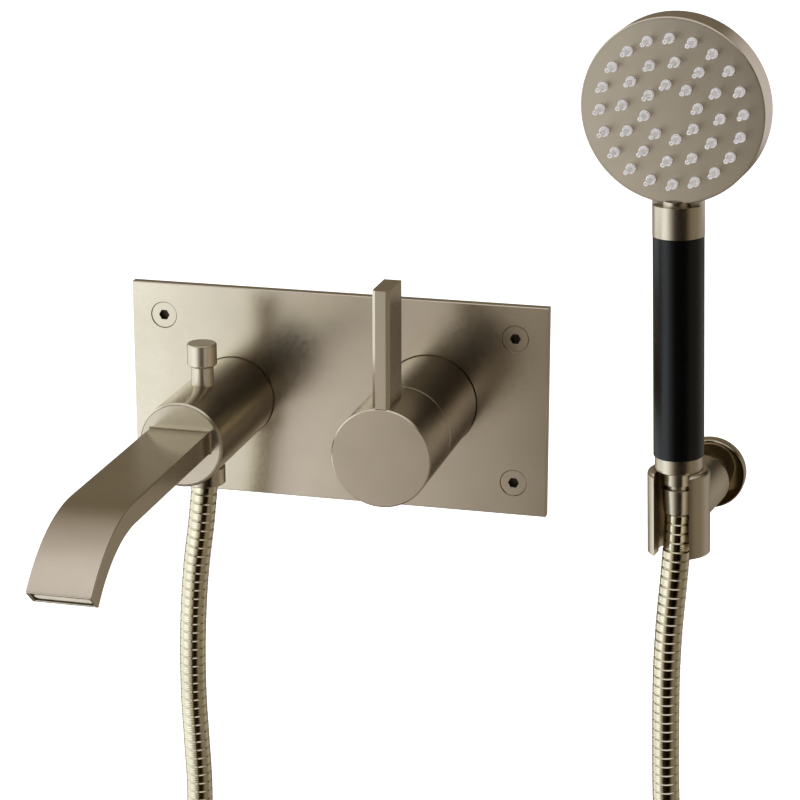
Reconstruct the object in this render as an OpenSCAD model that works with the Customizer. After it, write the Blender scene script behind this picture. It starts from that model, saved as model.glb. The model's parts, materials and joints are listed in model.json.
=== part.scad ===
// Wall mounted bath mixer with a spout, a diverter and a hand shower on a hose.
// Frame: the origin is the middle of the plate's back, on the wall. +X right, +Y into the wall, +Z up.

/* [Wall plate] */
// Width of the wall plate
plate_w = 220; // [200:1:260]
// Height of the wall plate
plate_h = 110; // [100:1:130]
// Thickness of the wall plate
plate_t = 5; // [4:0.5:8]
// Bevel round the front edge of the plate
plate_bevel = 0.4; // [0.3:0.1:1.5]
// Distance of each screw from the two nearest plate edges
screw_inset = 17; // [14:0.5:20]

/* [Mixer] */
// Mixer axis, right of the middle of the plate
mixer_x = 49; // [45:0.5:55]
// Mixer axis, above the middle of the plate
mixer_z = 2; // [-5:0.5:5]
// Outer diameter of the mixer
mixer_d = 49; // [48:0.5:51]
// How far the mixer stands out from the plate
mixer_reach = 96; // [92:0.5:105]
// Length of the turning front part
grip_len = 39.5; // [36:0.5:42]

/* [Lever] */
// Width of the lever bar
lever_w = 8.5; // [7:0.5:10]
// Depth of the lever bar, front to back
lever_depth = 23; // [20:0.5:26]
// Top of the lever above the mixer axis
lever_top = 82; // [70:0.5:82]

/* [Spout] */
// Spout axis, from the middle of the plate
spout_x = -55.5; // [-60:0.5:-54]
// Spout axis, above the middle of the plate
spout_z = -3.5; // [-8:0.5:4]
// Outer diameter of the spout barrel
barrel_d = 43; // [41:0.5:43]
// How far the spout barrel stands out from the plate
barrel_reach = 84.5; // [82:0.5:90]
// Width of the flat spout
spout_w = 31; // [27:0.5:33]
// Thickness of the flat spout
spout_t = 11; // [10:0.5:12]
// Top of the flat spout above the barrel axis
spout_top = 8; // [7:0.5:9]
// Length of the straight stretch in front of the barrel
spout_run = 104.5; // [80:0.5:130]
// Radius of the bend along the spout's top
bend_r = 75; // [40:1:90]
// Angle that the spout bends down
bend_angle = 48.5; // [20:0.5:55]
// Length of the straight tip
tip_len = 1; // [0.5:0.5:40]
// Wall of the flat spout
spout_wall = 1.5; // [1:0.1:2]

/* [Diverter] */
// Diverter axis in front of the plate
diverter_out = 49.5; // [46:0.5:55]
// Diameter of the diverter knob
knob_d = 14.8; // [14:0.1:18]
// Height of the diverter knob
knob_h = 11.6; // [10:0.1:14]
// Diameter of the fixed neck under the knob
neck_d = 11.2; // [10:0.1:12]
// Height of the fixed neck above the barrel
neck_h = 9.2; // [9:0.1:12]

/* [Hand shower] */
// Diameter of the shower head
head_d = 87.5; // [80:0.5:100]
// Thickness of the shower head
head_t = 13.5; // [13:0.5:18]
// Diameter of the black grip sleeve
grip_d = 24.2; // [23:0.1:26]
// Length of the black grip sleeve
sleeve_len = 106; // [90:1:120]
// Height of the head's middle above the bottom of the sleeve
head_rise = 166; // [164:0.5:170]
// Tilt of the head on the handle, spray face down
head_tilt = 4; // [0:0.5:10]
// How far each nozzle stands out of the spray face
nozzle_out = 8.5; // [4:0.5:9]

/* [Holder] */
// Middle of the rosette on the wall, right of the middle of the plate
holder_x = 193; // [180:1:220]
// Middle of the rosette on the wall, above the middle of the plate
holder_z = -24; // [-30:1:0]
// Diameter of the rosette
rosette_d = 35.5; // [34:0.5:50]
// Distance from the clamped ball to the middle of the cradle
arm_reach = 52; // [48:1:60]
// Turn of the arm towards the mixer
arm_turn = -8; // [-12:1:0]
// Lean of the cradle in the wall's plane
arm_lean = -1.9; // [-3:0.1:0]
// Outer diameter of the cradle
cradle_d = 30; // [29:0.5:32]

/* [Hose] */
// Outer diameter of the hose
hose_d = 13.5; // [13:0.5:14]

/* [Hidden] */
$fn = 96;

metal = [0.62, 0.56, 0.46];
dark_metal = [0.38, 0.34, 0.27];
brass = [0.72, 0.58, 0.3];
black = [0.08, 0.08, 0.08];
steel = [0.6, 0.6, 0.62];
silicone = [0.85, 0.86, 0.86];

fit = 0.05;
gap = 0.3;
body_y = 3;
body_depth = 40;
seal_inset = 6;
seal_w = 4;
seal_t = 1.9;
lug_x = 87;
lug_hole_d = 5.5;
block_x = 82;
block_bottom = -26;
block_h = 50;
inlet_d = 18.6;
inlet_depth = 14;
filter_d = 16.4;
filter_z = block_bottom + inlet_depth + 0.05;
way_d = 7;
plate_hole_gap = 0.4;
screw_head_d = 13.2;
screw_d = 6;
screw_neck_d = 5.4;
screw_hole_d = 6.6;
screw_sink_d = screw_head_d + 0.8;
plate_screw_grip = 20;
hex_af = 5;
hex_d = hex_af / cos(30);
seam_out = mixer_reach - grip_len;
seam_gap = 0.8;
sleeve_wall = 2;
boss_d = 42;
cartridge_d = 35;
cartridge_back = 18;
cartridge_len = 34;
spindle_d = 9;
barrel_r = barrel_d / 2;
barrel_bore = 34;
face_t = 4;
face_d = barrel_d - 2;
diverter_y = -(plate_t + diverter_out);
barrel_top = spout_z + barrel_r;
neck_top = barrel_top + neck_h;
rod_d = 5;
seat_bore = 15;
seat_d = barrel_bore - 2 * fit;
seat_len = 24;
lower_seat_z = spout_z - 9.5;
upper_seat_z = spout_z + 1.3;
bonnet_z = spout_z + 13.5;
plunger_z = lower_seat_z + 0.1;
plunger_t = 2.6;
spring_bottom = plunger_z + plunger_t + 0.1;
nipple_d = 17;
nipple_top = -15.5;
face_y = -(plate_t + barrel_reach);
bend_y = face_y - spout_run;
spout_top_z = spout_z + spout_top;
insert_h = 5;
insert_len = 5;
insert_recess = 1;
nut_d = 21;
nut_bottom = -34;
head_r = head_d / 2;
spray_d = head_d - 2;
face_out = 11;
collar_d = 22.9;
tail_d = 16.2;
tail_thread_d = 12.6;
hand_rise = 27;
ball_y = -7;
cradle_top = 19;
cradle_bottom = -22.3;
cradle_bore = 19.6;
slot_w = 17.5;
arm_d = 26.4;
neck_len = 10;
neck_root_d = 16;
seat_recess = 0.9;
sleeve_drop = 1.1;
ball_r = 5.4;
rosette_t = -ball_y - 0.2;
bracket_d = 31.5;
wall_screw_x = 11.8;
wall_screw_d = 3.8;
wall_screw_grip = 25;
wall_screw_neck_d = 3.2;
wall_screw_turn = -40;
bracket_t = 1.4;
grub_y = -3.5;

// Route of the hose from the lower nut round to the upper nut, in mm
hose_route = [
    [-55.5, -54.5, -34.1], [-56.5, -55, -45], [-58, -55, -58], [-61, -55, -80], [-63, -55, -104],
    [-64, -55, -128], [-64, -55, -152], [-63, -55, -176], [-62, -55, -203], [-63, -55, -235],
    [-66, -55, -268], [-71, -55, -301], [-76, -56, -334], [-79, -56, -367], [-78, -56, -400],
    [-72, -56, -432], [-60, -56, -463], [-42, -56, -491], [-18, -56, -514], [11, -57, -531],
    [43, -57, -541], [76, -57, -543], [109, -57, -536], [138, -58, -521], [163, -58, -499],
    [182, -58, -471], [195, -58, -440], [202, -58, -407], [204, -58, -373], [203, -59, -339],
    [199, -59, -305], [194, -59, -272], [189, -59, -238], [186, -59, -204], [184, -59, -171],
    [183, -59, -140], [182.5, -59, -113], [183, -59, -88], [184.4, -58.8, -64],
    [185.4, -58.6, -45], [185.9, -58.5, -26.65]];

// Children stand on the wall at x, z and point their +Z out into the room, from "out" mm off the wall
module from_wall(x, z, out = 0) translate([x, -out, z]) rotate([90, 0, 0]) children();

module tube(outer_d, inner_d, h) difference() {
    cylinder(d = outer_d, h = h);
    translate([0, 0, -1]) cylinder(d = inner_d, h = h + 2);
}

module ring(middle_d, section_d)
    rotate_extrude() translate([middle_d / 2, 0]) circle(d = section_d, $fn = 24);

// A disc whose front edge has a bevel, front at z = h
module bevelled_disc(d, h, bevel) {
    cylinder(d = d, h = h - bevel);
    translate([0, 0, h - bevel]) cylinder(d1 = d, d2 = d - 2 * bevel, h = bevel);
}

module at_mixer(out = 0) from_wall(mixer_x, mixer_z, out) children();

module at_barrel(out = 0) from_wall(spout_x, spout_z, out) children();

module at_diverter(z) translate([spout_x, diverter_y, z]) children();

module at_plate_screws() {
    for (sx = [-1, 1])
        for (sz = [-1, 1])
            from_wall(sx * (plate_w / 2 - screw_inset), sz * (plate_h / 2 - screw_inset)) children();
}

// Holder frame: origin at the clamped ball, arm along -Y, cradle upright
module holder_frame() translate([holder_x, ball_y, holder_z]) rotate([0, arm_lean, arm_turn]) children();

// Hand shower frame: origin on its axis at the bottom of the black sleeve, +Z up the handle
module hand_frame(z = 0) holder_frame() translate([0, -arm_reach, hand_rise + z]) children();

// ---- wall plate and the body behind it

module wall_plate() color(metal) difference() {
    from_wall(0, 0) {
        linear_extrude(plate_t - plate_bevel) square([plate_w, plate_h], center = true);
        translate([0, 0, plate_t - plate_bevel]) plate_bevels();
    }
    at_mixer(-1) cylinder(d = mixer_d + 2 * plate_hole_gap, h = plate_t + 2);
    at_barrel(-1) cylinder(d = barrel_d + 2 * gap, h = plate_t + 2);
    at_plate_screws() {
        translate([0, 0, -1]) cylinder(d = screw_hole_d, h = plate_t + 2);
        translate([0, 0, plate_t - 3.8]) cylinder(d1 = screw_hole_d, d2 = screw_sink_d, h = 3.2);
        translate([0, 0, plate_t - 0.6]) cylinder(d = screw_sink_d, h = 2);
    }
    seal_groove();
}

// The plate's bevelled front: a slab cut by a sloping plane along each edge
module plate_bevels() difference() {
    linear_extrude(plate_bevel) square([plate_w, plate_h], center = true);
    for (s = [-1, 1]) {
        translate([s * plate_w / 2, 0, 0]) rotate([0, s * -45, 0])
            translate([s > 0 ? 0 : -9, -plate_h, -9]) cube([9, 2 * plate_h, 18]);
        translate([0, s * plate_h / 2, 0]) rotate([s * 45, 0, 0])
            translate([-plate_w, s > 0 ? 0 : -9, -9]) cube([2 * plate_w, 9, 18]);
    }
}

// A frame of width w, inset from the plate's edges
module seal_frame(inset, w, t) difference() {
    linear_extrude(t) square([plate_w - 2 * inset, plate_h - 2 * inset], center = true);
    translate([0, 0, -1]) linear_extrude(t + 2)
        square([plate_w - 2 * (inset + w), plate_h - 2 * (inset + w)], center = true);
}

module seal_groove() from_wall(0, 0, -0.01) seal_frame(seal_inset, seal_w + 0.4, seal_t + 0.1);

module plate_seal() color(black) from_wall(0, 0) seal_frame(seal_inset + 0.2, seal_w, seal_t);

module plate_screws() color(metal) at_plate_screws() difference() {
    union() {
        translate([0, 0, -plate_screw_grip]) cylinder(d = screw_d, h = plate_screw_grip);
        cylinder(d = screw_neck_d, h = 2);
        translate([0, 0, 1.5]) cylinder(d1 = screw_neck_d, d2 = screw_head_d, h = 2.6);
        translate([0, 0, 4.1]) cylinder(d = screw_head_d, h = 0.4);
    }
    translate([0, 0, 1.6]) cylinder(d = hex_d, h = 5, $fn = 6);
}

// Brass body in the wall: a gallery block, a boss for the cartridge and a spigot for the barrel
inlet_x = [mixer_x - 24, mixer_x + 24];
port_x = [mixer_x - 10, mixer_x + 10];
port_z = mixer_z - 4;
inlet_y = body_y + 20;
gallery_y = body_y + 31;
gallery_z = mixer_z + 9;
spigot_len = 24;
module concealed_body() color(brass) difference() {
    union() {
        translate([-block_x, body_y, block_bottom]) cube([2 * block_x, body_depth, block_h]);
        at_mixer(-body_y - 1) cylinder(d = boss_d, h = 50 + body_y + 1);
        at_barrel(-body_y - 1) cylinder(d = 27, h = spigot_len + body_y + 1);
        for (s = [-1, 1]) translate([s * block_x - 10, body_y + 8, -9]) cube([20, 6, 18]);
    }
    at_mixer(cartridge_back) cylinder(d = cartridge_d + 0.6, h = 60);
    at_barrel(14) difference() {
        cylinder(d = 40, h = 2.4);
        translate([0, 0, -1]) cylinder(d = 24, h = 5);
    }
    supply_ways();
    mixed_way();
    for (s = [-1, 1]) translate([s * lug_x, 0, 0]) rotate([-90, 0, 0]) cylinder(d = lug_hole_d, h = 30);
}

// Hot and cold, from the threaded inlets up to the cartridge's two ports
module supply_ways() for (i = [0, 1]) {
    translate([inlet_x[i], inlet_y, block_bottom - 1]) cylinder(d = inlet_d, h = inlet_depth + 1);
    translate([inlet_x[i], inlet_y, filter_z - 0.05]) cylinder(d = filter_d + 0.2, h = 2.2);
    translate([inlet_x[i], inlet_y, block_bottom + 5]) cylinder(d = 9, h = 20);
    translate([min(inlet_x[i], port_x[i]), inlet_y, port_z])
        rotate([0, 90, 0]) cylinder(d = way_d, h = 14);
    translate([port_x[i], inlet_y, port_z]) rotate([90, 0, 0]) cylinder(d = way_d, h = 60);
}

// Mixed water, back from the cartridge, along the gallery and out through the spigot
module mixed_way() {
    translate([mixer_x, gallery_y, gallery_z]) rotate([90, 0, 0]) cylinder(d = 8, h = 80);
    translate([spout_x, gallery_y, gallery_z]) rotate([0, 90, 0]) cylinder(d = 8, h = 160);
    translate([68, gallery_y, gallery_z]) rotate([0, 90, 0]) cylinder(d = 12, h = 20);
    translate([spout_x, gallery_y, spout_z]) cylinder(d = 8, h = gallery_z - spout_z);
    translate([spout_x, gallery_y, spout_z]) rotate([90, 0, 0]) cylinder(d = 14, h = 80);
}

module gallery_plug() color(brass) translate([69, gallery_y, gallery_z]) rotate([0, 90, 0]) difference() {
    cylinder(d = 12 - 2 * fit, h = 12);
    translate([0, 0, 7]) cylinder(d = 6, h = 6, $fn = 6);
}

module body_filters() color(steel) for (x = inlet_x) translate([x, inlet_y, filter_z]) difference() {
    cylinder(d = filter_d, h = 2);
    for (a = [0:60:300]) rotate(a) translate([5, 0, -1]) cylinder(d = 3, h = 4);
    translate([0, 0, -1]) cylinder(d = 3, h = 4);
}

// ---- mixer

module mixer_sleeve() color(metal)
    at_mixer(1) tube(mixer_d, mixer_d - 2 * sleeve_wall, plate_t + seam_out - 1);

module cartridge_body() color([0.9, 0.9, 0.86]) at_mixer(cartridge_back + 1) difference() {
    union() {
        cylinder(d = cartridge_d, h = cartridge_len - 6);
        translate([0, 0, cartridge_len - 6]) cylinder(d = 28, h = 6);
    }
    translate([0, 0, 12]) cylinder(d = spindle_d + 1, h = cartridge_len);
    for (x = [-10, 10]) translate([x, -4, -1]) cylinder(d = 6.5, h = 8);
    translate([0, 9, -1]) cylinder(d = 6.5, h = 8);
}

module cartridge_seals() color(black) at_mixer(cartridge_back + 0.5) {
    for (x = [-10, 10]) translate([x, -4, 0]) ring(8.4, 0.9);
    translate([0, 9, 0]) ring(9.2, 0.9);
}

// Screws into the boss and holds the cartridge down by its shoulder
module cartridge_nut() color(brass) at_mixer(47.1) difference() {
    union() {
        cylinder(d = cartridge_d + 0.5, h = 3);
        translate([0, 0, 3]) cylinder(d = 36 / cos(30), h = 5, $fn = 6);
    }
    translate([0, 0, -1]) cylinder(d = 28.4, h = 12);
}

// The thin ring in the seam that the turning part glides on
module glide_ring() color(silicone) at_mixer(plate_t + seam_out - 4) difference() {
    union() {
        cylinder(d = mixer_d - 2 * sleeve_wall - 2 * fit, h = 4);
        translate([0, 0, 4]) cylinder(d = mixer_d - 0.9, h = seam_gap - 0.25);
    }
    translate([0, 0, -1]) cylinder(d = 43, h = 8);
}

module cartridge_spindle() color(brass) at_mixer(cartridge_back + 14) difference() {
    cylinder(d = spindle_d, h = 48);
    translate([-5, -13, 34]) cube([10, 9.5, 20]);
}

handle_len = grip_len - seam_gap;
handle_rear = plate_t + seam_out + seam_gap;
lever_middle = handle_len - lever_depth / 2;
grub_z = 11;
handle_bevel = 0.6;

// Inside the handle: the lever's own axis, +Z up the lever, from just inside the handle's wall
module lever_place(r = 15.5)
    translate([0, 0, lever_middle]) rotate([-90, 0, 0]) translate([0, 0, r]) children();

module handle_body() color(metal) at_mixer(handle_rear) difference() {
    bevelled_disc(mixer_d, handle_len, handle_bevel);
    translate([0, 0, -1]) difference() {
        cylinder(d = mixer_d - 7, h = 21);
        cylinder(d = 18, h = 22);
    }
    translate([0, 0, -1]) cylinder(d = 19, h = 5);
    translate([0, 0, -1]) cylinder(d = spindle_d + 2 * fit, h = 21.5);
    lever_place() cylinder(d = 7.1, h = 60);
    lever_place(9) cylinder(d = 3.5, h = 8);
    lever_place(9) mirror([0, 0, 1]) cylinder(d = 4.4, h = 60);
    translate([0, 0, grub_z]) rotate([90, 0, 0]) cylinder(d = 5, h = 30);
}

// A flat bar that stands on the handle, with its two front edges bevelled and a round tenon below
module lever() color(metal) at_mixer(handle_rear) difference() {
    union() {
        translate([0, 0, handle_len - lever_depth]) linear_extrude(lever_depth) difference() {
            translate([-lever_w / 2, 15]) square([lever_w, lever_top - 15]);
            circle(d = mixer_d + 0.04, $fn = 180);
        }
        lever_place() cylinder(d = 7, h = 12);
    }
    for (s = [-1, 1]) translate([s * lever_w / 2, 30, handle_len]) rotate([0, 45, 0])
        cube([2.4, 140, 2.4], center = true);
    lever_place(9) cylinder(d = 3.3, h = 14);
}

// Goes up through the handle into the lever's tenon
module lever_screw() color(steel) at_mixer(handle_rear) lever_place(9) {
    cylinder(d = 3.2, h = 13.6);
    translate([0, 0, -3]) difference() {
        cylinder(d = 4.2, h = 3);
        translate([0, 0, -1]) cylinder(d = 2.4, h = 2.5, $fn = 6);
    }
}

module handle_grub_screw() color(steel)
    at_mixer(handle_rear + grub_z) rotate([90, 0, 0]) translate([0, 0, 3.6]) difference() {
        cylinder(d = 4.9, h = 8);
        translate([0, 0, 5]) cylinder(d = 2.9, h = 4, $fn = 6);
    }

// ---- spout

module spout_barrel() color(metal) at_barrel(1) difference() {
    bevelled_disc(barrel_d, plate_t + barrel_reach - 1, 0.8);
    translate([0, 0, 22]) cylinder(d = barrel_bore, h = 62);
    translate([0, 0, -1]) cylinder(d = 27.2, h = 40);
    translate([0, 0, plate_t + barrel_reach - 1 - face_t]) cylinder(d = face_d + 2 * fit, h = 10);
    // neck hole above, nipple hole below
    translate([0, 0, -1 - diverter_y]) rotate([-90, 0, 0]) cylinder(d = neck_d + 2 * fit, h = 40);
    translate([0, 0, -1 - diverter_y]) rotate([90, 0, 0]) cylinder(d = nipple_d + 2 * fit, h = 40);
}

module spout_face() color(metal) at_barrel(plate_t + barrel_reach - face_t) difference() {
    cylinder(d = face_d, h = face_t);
    translate([-spout_w / 2 - fit, spout_top - spout_t - fit, -1])
        cube([spout_w + 2 * fit, spout_t + 2 * fit, 9]);
}

// The run of the flat spout: straight, bend, straight; "inset" shrinks the section on every side
module spout_run_shape(inset, start_y, extra) {
    w = spout_w - 2 * inset;
    t = spout_t - 2 * inset;
    outer = bend_r - inset;
    translate([spout_x, bend_y, spout_top_z - bend_r]) {
        translate([-w / 2, 0, outer - t]) cube([w, start_y - bend_y, t]);
        rotate([0, -90, 180]) rotate_extrude(angle = bend_angle, $fn = 180)
            translate([outer - t, -w / 2]) square([t, w]);
        rotate([bend_angle, 0, 0]) translate([-w / 2, -tip_len - extra, outer - t])
            cube([w, tip_len + extra, t]);
    }
}

module spout_tube() color(metal) difference() {
    spout_run_shape(0, face_y + face_t, 0);
    spout_run_shape(spout_wall, face_y + face_t + 1, 1);
}

// Pale lip in the lower part of the outlet; the water leaves through the slot above it
insert_end_x = spout_w / 2 - spout_wall - 0.2 - insert_h / 2;
insert_middle = bend_r - spout_t + spout_wall + 0.1 + insert_h / 2;
module outlet_insert() color(silicone)
    translate([spout_x, bend_y, spout_top_z - bend_r]) rotate([bend_angle, 0, 0])
        translate([0, insert_recess - tip_len, insert_middle]) rotate([-90, 0, 0])
            linear_extrude(insert_len) hull()
                for (x = [-insert_end_x, insert_end_x]) translate([x, 0]) circle(d = insert_h, $fn = 48);

module barrel_seal() color(black) at_barrel(15.2) ring(25.6, 1.5);

// ---- diverter

// Brass insert with a chamber between two seats: water enters it from behind and leaves by the
// throat above, to the spout, or by the bore below, to the hose
module diverter_seat() color(brass) at_barrel(-diverter_y - seat_len / 2) difference() {
    cylinder(d = seat_d, h = seat_len);
    seat_column(lower_seat_z, upper_seat_z, seat_bore);
    seat_column(upper_seat_z - 1, upper_seat_z + 30, neck_d + 2 * fit);
    seat_column(lower_seat_z - 30, lower_seat_z + 1, 11);
    seat_column(lower_seat_z - 30, nipple_top + 0.1, nipple_d + 2 * fit);
    translate([0, -3, -1]) cylinder(d = 7, h = seat_len / 2 + 1);
    translate([0, 7, seat_len / 2]) cylinder(d = 8, h = seat_len);
}

// A vertical bore in the seat's own frame, between two world heights
module seat_column(z0, z1, d)
    translate([0, z0 - spout_z, seat_len / 2]) rotate([-90, 0, 0]) cylinder(d = d, h = z1 - z0);

module diverter_bonnet() color(metal) at_diverter(bonnet_z) difference() {
    cylinder(d = neck_d, h = neck_top - bonnet_z);
    translate([0, 0, -1]) cylinder(d = rod_d + 2 * fit, h = 40);
    translate([0, 0, 9]) cylinder(d = 8, h = 2.2);
}

module bonnet_seal() color(black) at_diverter(bonnet_z + 10.1) ring(6.6, 1.3);

// Return spring: a closed sweep of a small circle along a helix
spring_turns = 5;
spring_wire = 0.8;
spring_r = 5;
spring_steps = 90;
spring_sides = 6;
module diverter_spring() color(steel) at_diverter(0) {
    rise = bonnet_z - spring_bottom - spring_wire - 0.1;
    points = [for (i = [0:spring_steps]) for (k = [0:spring_sides - 1])
        let (a = 360 * spring_turns * i / spring_steps,
            b = 360 * k / spring_sides,
            r = spring_r + spring_wire / 2 * cos(b))
        [r * cos(a), r * sin(a), spring_bottom + spring_wire / 2 * (1 + sin(b)) + rise * i / spring_steps]];
    polyhedron(points, sweep_faces(spring_steps, spring_sides), convexity = 10);
}

// Faces of a tube swept through rings 0..n with the given number of sides
function sweep_faces(n, sides) = concat(
    [[for (k = [0:sides - 1]) k]],
    [for (i = [0:n - 1]) for (k = [0:sides - 1])
        [i * sides + k, (i + 1) * sides + k,
         (i + 1) * sides + (k + 1) % sides, i * sides + (k + 1) % sides]],
    [[for (k = [sides - 1:-1:0]) n * sides + k]]);

module diverter_knob() color(metal) at_diverter(neck_top + gap) difference() {
    union() {
        cylinder(d1 = knob_d - 1.6, d2 = knob_d, h = 0.8);
        translate([0, 0, 0.8]) bevelled_disc(knob_d, knob_h - 0.8, 0.5);
    }
    translate([0, 0, -1]) cylinder(d = rod_d, h = 8);
}

module diverter_rod() color(steel) at_diverter(plunger_z - 0.2)
    cylinder(d = rod_d - 2 * fit, h = neck_top + gap + 6.8 - plunger_z);

module diverter_plunger() color(black) at_diverter(plunger_z) difference() {
    union() {
        cylinder(d = seat_bore - 0.4, h = plunger_t);
        translate([0, 0, plunger_t]) cylinder(d = 8, h = 3.4);
    }
    translate([0, 0, -1]) cylinder(d = rod_d, h = 9);
}

// ---- hose outlet and hose

module outlet_nipple() color(metal) at_diverter(-31) difference() {
    cylinder(d = nipple_d, h = nipple_top + 31);
    translate([0, 0, -1]) cylinder(d = 11, h = 20);
}

module lower_hose_nut() color(metal) at_diverter(nut_bottom) difference() {
    union() {
        cylinder(d1 = nut_d - 1.2, d2 = nut_d, h = 0.6);
        translate([0, 0, 0.6]) cylinder(d = nut_d, h = 8.2);
    }
    translate([0, 0, 1.7]) cylinder(d = nipple_d + 2 * fit, h = 9);
    translate([0, 0, -1]) cylinder(d = 12.4, h = 9);
    translate([0, 0, 0.9]) cylinder(d = 16.8, h = 1);
}

module lower_washer() color(black) at_diverter(-32.3) tube(16.6, 9, 1.2);

module lower_ferrule() color(metal) at_diverter(nut_bottom) difference() {
    union() {
        cylinder(d = 12.2, h = 1);
        translate([0, 0, 0.9]) cylinder(d = 16.6, h = 0.7);
    }
    translate([0, 0, -1]) cylinder(d = 8, h = 9);
}

hose_sides = 10;
function unit(v) = v / norm(v);
function tangent(p, i) = unit(p[min(i + 1, len(p) - 1)] - p[max(i - 1, 0)]);
module hose() color(metal) {
    points = [for (i = [0:len(hose_route) - 1])
        let (t = i == 0 || i == len(hose_route) - 1 ? hose_end_direction(i) : tangent(hose_route, i),
            u = unit(cross(t, [0, 1, 0])), v = cross(t, u))
        for (k = [0:hose_sides - 1])
            hose_route[i] + hose_d / 2 * (cos(360 * k / hose_sides) * u + sin(360 * k / hose_sides) * v)];
    polyhedron(points, sweep_faces(len(hose_route) - 1, hose_sides), convexity = 10);
}

// The ends are cut square with the nuts: straight down at the outlet, up the handle's axis at the cradle
function hose_end_direction(i) = i == 0 ? [0, 0, -1] :
    [sin(arm_lean) * cos(arm_turn), sin(arm_lean) * sin(arm_turn), cos(arm_lean)];

// ---- hand shower, in its own frame

module upper_hose_nut() color(metal) hand_frame(-29.6) difference() {
    cylinder(d1 = 14.7, d2 = 15.9, h = 12.3);
    translate([0, 0, 4.6]) cylinder(d = tail_thread_d + 0.2, h = 9);
    translate([0, 0, -1]) cylinder(d = 10.6, h = 9);
}

module upper_ferrule() color(metal) hand_frame(-29.6) difference() {
    union() {
        cylinder(d = 10.4, h = 4.7);
        translate([0, 0, 4.65]) cylinder(d = 12.4, h = 0.6);
    }
    translate([0, 0, -1]) cylinder(d = 7, h = 9);
}

module upper_washer() color(black) hand_frame(-24.3) tube(12.4, 8, 1);

module tail_collar() color(metal) hand_frame() difference() {
    union() {
        translate([0, 0, -8.5]) cylinder(d1 = collar_d - 1, d2 = collar_d, h = 0.5);
        translate([0, 0, -8]) cylinder(d = collar_d, h = 8 - sleeve_drop - 0.1);
        translate([0, 0, -15]) cylinder(d = tail_d, h = 8);
        translate([0, 0, -23]) cylinder(d = tail_thread_d, h = 9);
        translate([0, 0, -2]) cylinder(d = 13.8, h = 10);
    }
    translate([0, 0, -24]) cylinder(d = 8, h = 40);
    translate([0, 0, -23.5]) cylinder(d = 9.6, h = 4);
}

module flow_limiter() color([0.2, 0.45, 0.3]) hand_frame(-22.6) tube(9.5, 3, 3);

module handle_core() color(steel) hand_frame(0.1) tube(18, 14, 113);

module grip_sleeve() color(black) hand_frame() difference() {
    union() {
        translate([0, 0, -sleeve_drop]) cylinder(d1 = grip_d - 0.6, d2 = grip_d, h = 0.3);
        translate([0, 0, 0.3 - sleeve_drop]) cylinder(d = grip_d, h = sleeve_len - 0.6 + sleeve_drop);
        translate([0, 0, sleeve_len - 0.3]) cylinder(d1 = grip_d, d2 = grip_d - 0.6, h = 0.3);
    }
    translate([0, 0, -2]) cylinder(d = 18.1, h = sleeve_len + 3);
}

// Head frame: the middle of the spray face, +Z out of it, "out" mm in front of the handle's axis
module on_head(out = 0) hand_frame(head_rise) translate([0, -face_out, 0]) rotate([90 + head_tilt, 0, 0])
    translate([0, 0, out - face_out]) children();

module head_shell() color(metal) difference() {
    union() {
        on_head(face_out - head_t) bevelled_disc(head_d, head_t, 0.5);
        on_head(face_out - head_t) mirror([0, 0, 1]) translate([0, 0, -0.5])
            cylinder(d1 = head_d, d2 = head_d - 1.6, h = 0.8);
        hand_frame(sleeve_len + 0.1) cylinder(d = grip_d + 0.3, h = 14.9);
        hand_frame(sleeve_len + 14) intersection() {
            cylinder(d = grip_d + 0.3, h = 9);
            translate([-20, -4, 0]) cube([40, 40, 9]);
        }
        hand_frame(sleeve_len + 8) translate([0, -3.5, 0]) cylinder(d = 13, h = 14);
    }
    on_head(face_out - 2.5) cylinder(d = spray_d, h = 9);
    on_head(face_out - head_t + 2.5) cylinder(d = head_d - 6, h = head_t);
    hand_frame(sleeve_len - 1) cylinder(d = 18.1, h = 8.2);
    hand_frame(sleeve_len - 1) translate([0, -3.5, 0]) cylinder(d = 9, h = 26);
}

// Each ring of nozzles: share of the head's radius, count and start angle
nozzle_rings = [[0.293, 8, 9.4], [0.531, 12, 24.2], [0.778, 20, 0]];
module at_nozzles() for (r = nozzle_rings) for (i = [0:r[1] - 1])
    rotate(r[2] + 360 * i / r[1]) translate([r[0] * head_r, 0, 0]) children();

module spray_plate() color(metal) on_head(face_out - 2.3) difference() {
    cylinder(d = spray_d - 2 * fit, h = 2.3);
    at_nozzles() translate([0, 0, -1]) cylinder(d = 5, h = 5, $fn = 24);
}

module nozzle_mat() color(silicone) on_head(face_out - 4.4) {
    cylinder(d = head_d - 7, h = 2);
    at_nozzles() {
        translate([0, 0, 1.9]) cylinder(d = 4.9, h = 2.7, $fn = 24);
        translate([0, 0, 4.5]) cylinder(d1 = 4, d2 = 2.2, h = nozzle_out - 0.1, $fn = 24);
    }
}

module head_seal() color(black) on_head(face_out - 5.2) ring(head_d - 10, 1.5);

// ---- holder, in its own frame

module holder_cradle() color(metal) holder_frame() difference() {
    union() {
        translate([0, -arm_reach, cradle_bottom]) cradle_shell();
        rotate([90, 0, 0]) cylinder(d = neck_root_d, h = neck_len + 1);
        translate([0, -neck_len, 0]) rotate([90, 0, 0]) arm();
        ball_root();
    }
    translate([0, -arm_reach, -60]) cylinder(d = cradle_bore, h = 120);
    translate([0, -arm_reach, cradle_top - seat_recess]) cylinder(d = collar_d + 0.5, h = 5);
    translate([-slot_w / 2, -arm_reach - 30, -60]) cube([slot_w, 30, 120]);
    sphere(r = ball_r + 0.1);
    rotate([-90, 0, 0]) cylinder(r = ball_r + 0.1, h = 16);
    translate([0, grub_y, -40]) cylinder(d = 4.2, h = 40);
}

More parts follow.
